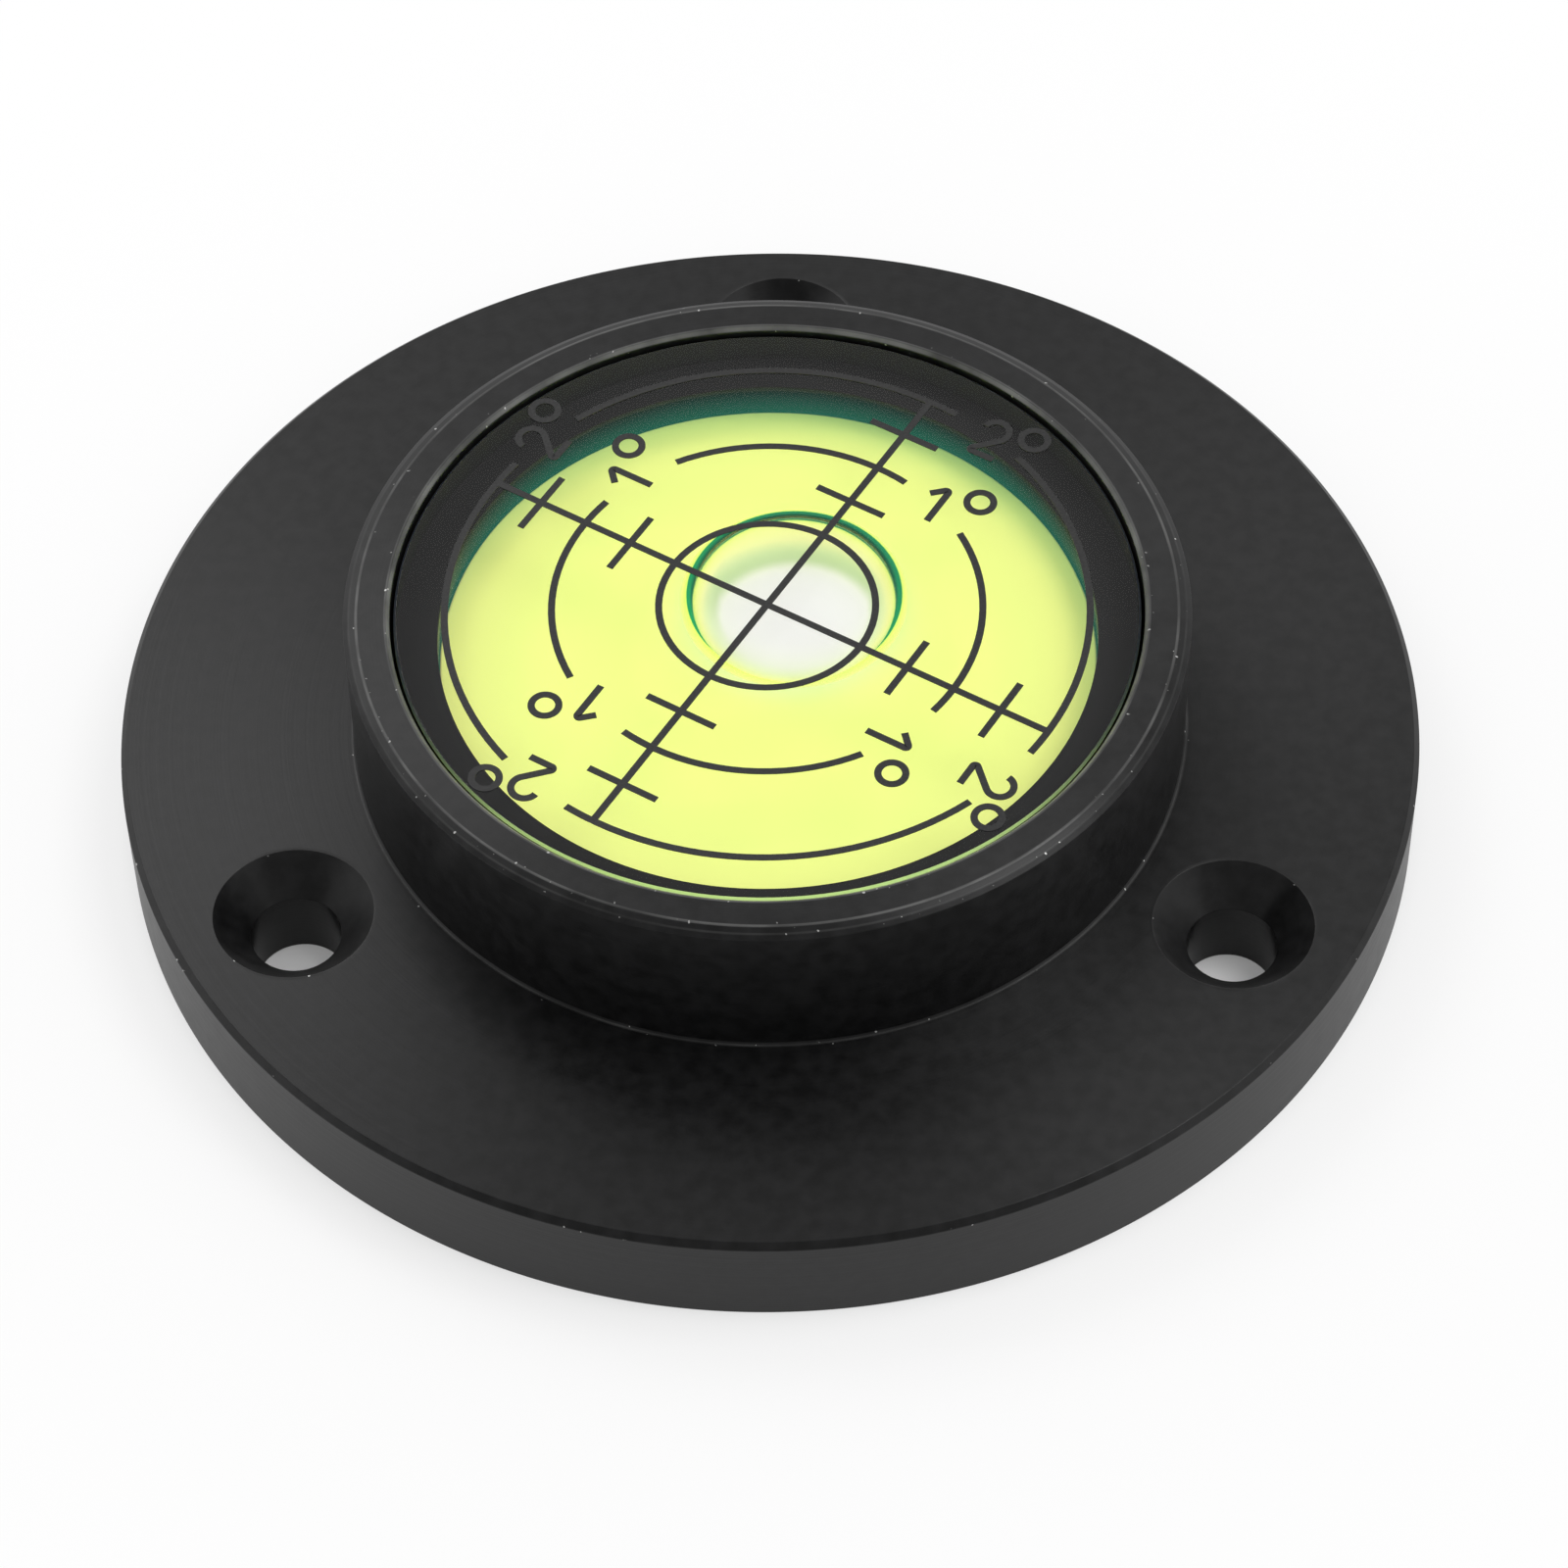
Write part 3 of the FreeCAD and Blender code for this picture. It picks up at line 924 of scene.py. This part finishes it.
    def patch_loop(self, hole: int, radii: Array) -> Array:
        """Edge of the patch round a hole, anticlockwise: outer arc, side, inner arc, side.

        Args:
            hole: Number of the hole.
            radii: Radii of the ring's rows, from the outer one to the inner one.

        Returns:
            (n, 2) points.
        """
        middle = self.columns // 4 + hole * self.columns // self.measures.hole_count
        low, high = middle - self.patch_half, middle + self.patch_half
        span = np.arange(low, high + 1)
        side = radii[1:-1]
        radius = np.concatenate([
            np.full(len(span), radii[0]), side, np.full(len(span), radii[-1]), side[::-1]
        ])
        index = np.concatenate([
            span, np.full(len(side), high), span[::-1], np.full(len(side), low)
        ])
        return radius[:, None] * circle_points(self.columns)[index % self.columns]

    def add_pierced_flange(self, surface: Surface) -> None:
        """Adds the flange's top and underside between its band and the boss, and the holes.

        Round each hole the rows blend from the patch's edge to the hole's edge:
        edge + (hole - edge) * share. Between the patches they are plain rings.
        """
        size, count = self.measures, self.measures.hole_count
        outer, inner = self.band()[-1, 0], self.boss()[0, 0]
        radii = np.linspace(outer, inner, self.rows + 1)
        circle = circle_points(self.columns)
        wall = self.hole()
        share = np.linspace(0, 1, self.patch_rows)[:, None, None]
        faces = (self.flange_thickness, wall[0, 0], 1), (0.0, wall[-1, 0], -1)
        sector = self.columns // count
        for hole in range(count):
            start = self.columns // 4 + hole * sector
            across = np.arange(start + self.patch_half, start + sector - self.patch_half + 1)
            plain = radii[:, None, None] * circle[across % self.columns][None]
            loop = self.patch_loop(hole, radii)
            centre = size.hole_circle * circle[start % self.columns]
            toward = (loop - centre) / np.linalg.norm(loop - centre, axis=1, keepdims=True)
            for height, edge, facing in faces:
                round_hole = centre + edge * toward
                blend = loop + (round_hole - loop) * share
                for grid, closed in ((plain, False), (blend, True)):
                    surface.add(lifted(grid, height)[:, ::facing], closed)
            surface.add(turned(wall, toward, centre), axis=centre)
        base = np.array([[0.0, 0.0], [inner, 0.0]])
        surface.add(turned(base, circle))

    def build(self, metal: bpy.types.Material, wetted: bpy.types.Material) -> None:
        """Builds the housing: metal outside, and the wetted material in the chamber."""
        surface, circle = Surface(), circle_points(self.columns)
        surface.add(turned(self.band(), circle))
        surface.add(turned(self.boss(), circle))
        surface.add(turned(self.chamber(), circle), finish=1)
        self.add_pierced_flange(surface)
        settle(surface.build("level_housing", [metal, wetted]), Slot.METAL, "housing")


@dataclass
class Bubble:
    """Flattened gas gap under the dome of the lens."""

    radius: float = 5.75 * MM  # half way up, where it is widest
    patch: float = 3.9 * MM  # radius of its flat top against the lens
    foot: float = 4.0 * MM  # radius of its flat underside
    lean: Place = (0.0, 0.35 * MM)  # of its top
    film: float = 0.06 * MM  # liquid left under it
    offset: float = 2.79 * MM  # from the axis of the level
    bearing: float = math.radians(63.4)

    @property
    def centre(self) -> Array:
        """Place of the bubble's axis."""
        return self.offset * np.array([math.cos(self.bearing), math.sin(self.bearing)])


@dataclass
class Filling:
    """Liquid in the chamber, with the bubble as a hollow in its top."""

    measures: Measures
    bubble: Bubble
    columns: int = 256
    wall_steps: int = 24
    top_steps: int = 24
    foot_steps: int = 4

    def hollow(self, low: float, roof: Array) -> Array:
        """Wall of the bubble from the lens down to the pole of its underside.

        From the patch the radius swells as sin t and the height falls as 1 - cos t. From the foot
        the radius swells as sin^2 t, so that the liquid's edge there is a wedge.

        Args:
            low: Height of the pole.
            roof: (columns,) height of the lens over the patch's edge.

        Returns:
            Grid of (rows, columns, 3).
        """
        bubble, waist = self.bubble, (low + roof) / 2
        turn = np.linspace(0, np.pi / 2, self.wall_steps + 1)[:, None]
        neck = bubble.patch + (bubble.radius - bubble.patch) * np.sin(turn)
        fall = roof - (roof - waist) * (1 - np.cos(turn))
        bowl = bubble.foot + (bubble.radius - bubble.foot) * np.sin(turn[-2::-1]) ** 2
        drop = low + (waist - low) * (1 - np.cos(turn[-2::-1]))
        flat = bubble.foot * np.linspace(1, 0, self.foot_steps + 1)[1:, None]
        radius = np.concatenate([neck, bowl, flat])
        height = np.concatenate([fall, drop, np.full((len(flat), self.columns), low)])
        climb = ((height - low) / (roof - low))[..., None]
        plane = bubble.centre + climb * bubble.lean
        return lifted(plane + radius[..., None] * circle_points(self.columns)[None], height)

    def section(self) -> Array:
        """Floor from its pole to the edge, ceiling back to the bubble, and the bubble's wall.

        Returns:
            Grid of (section points, columns, 3).
        """
        size, circle = self.measures, circle_points(self.columns)
        low = size.disc_top - SKIN
        edge = (size.chamber_radius + SKIN) * circle
        rim = self.bubble.centre + self.bubble.lean + self.bubble.patch * circle

        def roof(plane: Array) -> Array:
            """Height just inside the dome of the lens."""
            return size.dome_height(np.linalg.norm(plane, axis=-1)) + SKIN

        across = np.linspace(0, 1, self.top_steps + 1)[:, None, None]
        floor = lifted(self.bubble.centre + (edge - self.bubble.centre) * across, low)
        spread = rim + (edge - rim) * across
        ceiling = lifted(spread, roof(spread))[::-1]
        hollow = self.hollow(size.disc_top + self.bubble.film, roof(rim))
        return np.concatenate([floor, ceiling, hollow[1:]])

    def build(self, liquid: bpy.types.Material) -> None:
        """Builds the liquid."""
        surface = Surface()
        surface.add(self.section())
        settle(surface.build("level_liquid_filling", [liquid]), Slot.LIQUID, "liquid")


@dataclass
class TurnedPiece:
    """Piece turned whole about the level's axis; each kind has its own profile."""

    name: ClassVar[str]
    slot: ClassVar[Slot]
    node: ClassVar[str]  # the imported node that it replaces
    measures: Measures
    columns: int = 256

    def profile(self) -> Array:
        """Closed profile, or one from pole to pole."""
        raise NotImplementedError

    def finish(self, profile: Array) -> int | Array:
        """Number of the material, or one for each band of the profile."""
        return 0

    def build(self, *materials: bpy.types.Material) -> None:
        """Builds the piece with its materials in the order of the finish numbers."""
        surface, profile = Surface(), self.profile()
        surface.add(turned(profile, circle_points(self.columns)), finish=self.finish(profile))
        settle(surface.build(self.name, list(materials)), self.slot, self.node)


@dataclass
class Lens(TurnedPiece):
    """Clear disc with a bevelled top edge and a domed underside.

    It takes four materials: for its top, its underside, its bevel and its bonded side.
    """

    name, slot, node = "level_lens", Slot.LENS, "lens"
    chamfer: float = 0.12 * MM
    edge: float = 0.03 * MM
    columns: int = 288
    dome_rows: int = 24

    def profile(self) -> Array:
        """Closed profile from the dome's top outwards, up the side and back over the top."""
        size = self.measures
        radius = np.linspace(0, size.chamber_radius, self.dome_rows + 1)
        dome = np.stack([radius, size.dome_height(radius)], axis=-1)
        outer, top = size.lens_radius, size.lens_top
        corners = outline(
            (size.chamber_radius, size.lens_seat, 0),
            (outer, size.lens_seat, self.edge),
            (outer, top - self.chamfer, self.edge),
            (outer - self.chamfer, top, self.edge),
            (0, top, 0),
        )
        return np.concatenate([dome, corners[1:]])

    def finish(self, profile: Array) -> Array:
        """Numbers of the bands by the place of their middles."""
        size = self.measures
        radius, height = ((profile[1:] + profile[:-1]) / 2).T
        raised = height >= size.lens_seat + APART
        under = (np.arange(len(radius)) < self.dome_rows) | ~raised
        outside = (radius > size.lens_radius - self.chamfer) & raised
        bevel = outside & (height > size.lens_top - self.chamfer)
        return under + 2 * bevel + 3 * (outside & ~bevel)


@dataclass
class Backing(TurnedPiece):
    """White disc on the chamber's floor."""

    name, slot, node = "level_white_disc", Slot.DISC, "white_disc"
    edge: float = 0.1 * MM

    def profile(self) -> Array:
        """Underside from its pole, round the edge and back over the top."""
        size = self.measures
        low, high, outer = size.pocket_floor + SKIN, size.disc_top, size.disc_radius
        return outline((0, low, 0), (outer, low, self.edge), (outer, high, self.edge), (0, high, 0))


@dataclass
class Seal(TurnedPiece):
    """Flat ring under the lens, pressed a little into it."""

    name, slot, node = "level_seal", Slot.SEAL, "seal_ring"

    def profile(self) -> Array:
        """Closed rectangle."""
        size = self.measures
        low, high = size.ledge_height + SKIN, size.lens_seat + SKIN
        inner, outer = size.chamber_radius, size.lens_radius + SKIN
        return np.array([(inner, low), (outer, low), (outer, high), (inner, high), (inner, low)])


@dataclass
class Numerals:
    """Printed 1 and 2 with their degree signs beside each arm of the crosshair.

    A place (u, v) is measured from the axis, v along the arm and u to its clockwise side.
    """

    measures: Measures
    line_width: float = 0.36 * MM
    ink_thickness: float = 0.04 * MM
    first_arm: float = math.radians(60)
    arm_count: int = 4
    sign_radius: float = 0.68 * MM
    one_foot: Place = (4.08 * MM, 8.9 * MM)
    one_height: float = 2.45 * MM
    flag: Place = (-0.8 * MM, -0.76 * MM)
    one_sign: Place = (5.78 * MM, 11.34 * MM)
    two_foot: Place = (3.45 * MM, 14.1 * MM)
    two_width: float = 1.56 * MM
    bowl_centre: Place = (0.74 * MM, 1.76 * MM)
    bowl_radius: float = 0.68 * MM
    bowl_start: float = math.radians(172)
    two_sign: Place = (6.16 * MM, 16.34 * MM)
    bend: float = 0.13 * MM
    one_shifts: tuple[Place, ...] = (  # in millimetres: the print is uneven from arm to arm
        (-0.10, 0.01), (-0.22, 0.35), (0.16, -0.20), (0.38, -0.48)
    )
    two_shifts: tuple[Place, ...] = ((-0.25, 0.12), (-0.71, 0.38), (-0.24, 0.15), (-0.01, -0.10))
    sign_points: int = 48
    bowl_points: int = 40
    bend_steps: int = 6

    def sign(self, centre: Place) -> Array:
        """Full circle about the centre, its first point repeated at the end."""
        ring = circle_points(self.sign_points)
        return np.array(centre) + self.sign_radius * np.concatenate([ring, ring[:1]])

    def one(self) -> Array:
        """Stem from its foot to its tip, then the flag."""
        foot = np.array(self.one_foot)
        tip = foot + (0, self.one_height)
        path = np.array([foot, tip, tip + self.flag])
        return rounded(path, np.full(3, self.bend), self.bend_steps)

    def two(self) -> Array:
        """Bowl, the tangent from it down to the corner of the base, then the base.

        Seen from the corner, the bowl's centre lies at distance d, and the tangent leaves the
        bowl where its radius makes the angle acos(r / d) with the line to the corner.
        """
        foot, middle = np.array(self.two_foot), np.array(self.bowl_centre)
        distance = np.linalg.norm(middle)
        back = math.atan2(-middle[1], -middle[0])
        leave = back + math.acos(self.bowl_radius / distance)
        turn = np.linspace(self.bowl_start, leave, self.bowl_points)
        bowl = middle + self.bowl_radius * np.stack([np.cos(turn), np.sin(turn)], axis=-1)
        corner = np.array([bowl[-1], (0, 0), (self.two_width, 0)])
        base = rounded(corner, np.full(3, self.bend), self.bend_steps)
        return foot + np.concatenate([bowl[:-1], base])

    def build(self, ink: bpy.types.Material) -> None:
        """Builds the numerals of all arms."""
        surface, low = Surface(), self.measures.lens_top
        ones = [self.one(), self.sign(self.one_sign)]
        twos = [self.two(), self.sign(self.two_sign)]
        for arm in range(self.arm_count):
            angle = self.first_arm + arm * 2 * math.pi / self.arm_count
            along = np.array([math.cos(angle), math.sin(angle)])
            aside = np.array([math.sin(angle), -math.cos(angle)])
            strokes = [stroke + np.multiply(self.one_shifts[arm], MM) for stroke in ones]
            strokes += [stroke + np.multiply(self.two_shifts[arm], MM) for stroke in twos]
            for stroke in strokes:
                path = stroke[:, :1] * aside + stroke[:, 1:] * along
                ring = np.allclose(stroke[0], stroke[-1])
                bar = ribbon(path, self.line_width, low, low + self.ink_thickness)
                if ring:
                    bar[0] = bar[-1] = (bar[0] + bar[-1]) / 2
                surface.add(bar, caps=not ring)
        settle(surface.build("level_numerals", [ink]), Slot.INK)


# Studio


def orbit(azimuth: float, elevation: float, distance: float) -> Matrix:
    """Place that faces the origin; the azimuth runs anticlockwise from the front."""
    turn = Matrix.Rotation(azimuth, 4, "Z")
    tilt = Matrix.Rotation(math.pi / 2 - elevation, 4, "X")
    return turn @ tilt @ Matrix.Translation((0, 0, distance))


@dataclass(frozen=True)
class Softbox:
    """Square lamp that faces the level."""

    name: str
    azimuth: float  # degrees
    elevation: float
    distance: float
    size: float
    share: float  # of the light that a level white surface at the origin needs to look white

    def build(self) -> None:
        """Adds the lamp; a lamp of power P gives P / (pi d)^2 of that light at distance d."""
        lamp = bpy.data.lights.new(self.name, "AREA")
        lamp.shape = "SQUARE"
        lamp.size = self.size
        lamp.energy = self.share * (math.pi * self.distance) ** 2
        turn, climb = math.radians(self.azimuth), math.radians(self.elevation)
        added(self.name, lamp).matrix_world = orbit(turn, climb, self.distance)


@dataclass(frozen=True)
class PhotoCamera:
    """Camera of the photograph, fitted to the round edges of the housing."""

    azimuth: float = math.radians(2.5)
    elevation: float = math.radians(50.69)
    distance: float = 276.0 * MM
    roll: float = math.radians(1.33)
    aim_right: float = 2.39e-3  # radians
    aim_up: float = -1.03e-3
    lens_mm: float = 122.5
    sensor_mm: float = 36.0
    clip: Place = (0.01, 20.0)  # metres

    def build(self) -> None:
        """Adds the camera: looks at the origin, then turns by its small aim angles and roll."""
        data = bpy.data.cameras.new("photo_camera")
        data.lens = self.lens_mm
        data.sensor_width = self.sensor_mm
        data.clip_start, data.clip_end = self.clip
        camera = added("photo_camera", data)
        camera.matrix_world = orbit(self.azimuth, self.elevation, self.distance)
        for angle, axis in ((-self.aim_right, "Y"), (self.aim_up, "X"), (-self.roll, "Z")):
            camera.matrix_world = camera.matrix_world @ Matrix.Rotation(angle, 4, axis)
        bpy.context.scene.camera = camera


@dataclass
class Studio:
    """Pale floor, soft lamps and a white surround."""

    floor_half: float = 1.5
    floor_points: int = 9  # along each side
    surround: float = 0.7  # brightness of the surround as a light
    front_share: float = 0.3  # of white, of the surround's front as metal and glass show it
    behind: Place = (0.3, 0.75)  # way along Y where its back begins and where it is white
    beside: Place = (0.4, 0.85)  # square of the way along X where its sides do
    lamps: tuple[Softbox, ...] = (
        Softbox("left_softbox", azimuth=-140, elevation=50, distance=0.3, size=0.15, share=0.19),
        Softbox("right_softbox", azimuth=100, elevation=65, distance=0.7, size=0.3, share=0.28),
    )

    def build_floor(self, made: bpy.types.Material) -> None:
        """Adds the floor just under the level."""
        surface = Surface()
        span = np.linspace(-self.floor_half, self.floor_half, self.floor_points)
        grid = np.stack(np.meshgrid(span, span), axis=-1)
        surface.add(lifted(grid, -SKIN), closed=False)
        surface.build("floor", [made])

    def build_world(self) -> None:
        """Makes the surround: plain white where it is seen, softer where it only lights.

        In reflections it is white behind the level and at its sides, and grey overhead and in
        front.
        """
        world = bpy.data.worlds.new("white_studio")
        graph = emptied(world)
        parts = graph.parts(graph.node("ShaderNodeTexCoord").outputs["Generated"])
        back = graph.ramp(parts["Y"], *self.behind)
        side = graph.ramp(graph.maths("MULTIPLY", parts["X"], parts["X"]), *self.beside)
        mirrored = graph.between(graph.maths("MAXIMUM", back, side), self.front_share, 1.0)
        path = graph.node("ShaderNodeLightPath").outputs
        white = graph.maths("MAXIMUM", mirrored, path["Is Camera Ray"])
        strength = graph.between(seen(graph), self.surround, white)
        inputs = {"Color": solid((1.0, 1.0, 1.0)), "Strength": strength}
        light = graph.node("ShaderNodeBackground", inputs).outputs[0]
        graph.node("ShaderNodeOutputWorld", {"Surface": light})
        bpy.context.scene.world = world

    def build(self, pale: bpy.types.Material) -> None:
        """Builds the whole studio with a floor of the pale material."""
        self.build_floor(pale)
        self.build_world()
        for lamp in self.lamps:
            lamp.build()
        PhotoCamera().build()
        bpy.context.scene.view_settings.view_transform = "Standard"


def main() -> None:
    """Builds the level piece by piece, then the studio."""
    logging.basicConfig(level=logging.INFO, format="%(name)s %(message)s")
    measures, effects, bubble = Measures.of_parts(), Effects(), Bubble()
    housing = Housing(measures)
    metal, wetted, white, liquid, black, ink, pale = (
        finish.material(effects)
        for finish in (
            AnodisedFinish(housing.worn_and_highlit_edges()),
            WettedFinish(),
            DiscFinish(bubble.centre, measures.disc_top),
            LiquidFinish(),
            RUBBER,
            INK,
            FloorFinish(),
        )
    )
    faces = [
        LensFinish("clear_lens"),
        LensFinish("lens_underside", reflection=0.0),
        LensFinish("lens_bevel", roughness=0.45, reflection=1.0, colour=(0.4, 0.62, 1.0)),
    ]
    housing.build(metal, wetted)
    Backing(measures).build(white)
    Seal(measures).build(black)
    Filling(measures, bubble).build(liquid)
    Lens(measures).build(*(face.material(effects) for face in faces), black)
    Numerals(measures).build(ink)
    graduations = frame["nodes"]["graduations"]
    graduations.data.materials.clear()
    graduations.data.materials.append(ink)
    LOG.info("graduations: %d faces of the packed part", len(graduations.data.polygons))
    Studio().build(pale)


if __name__ == "__main__":
    main()
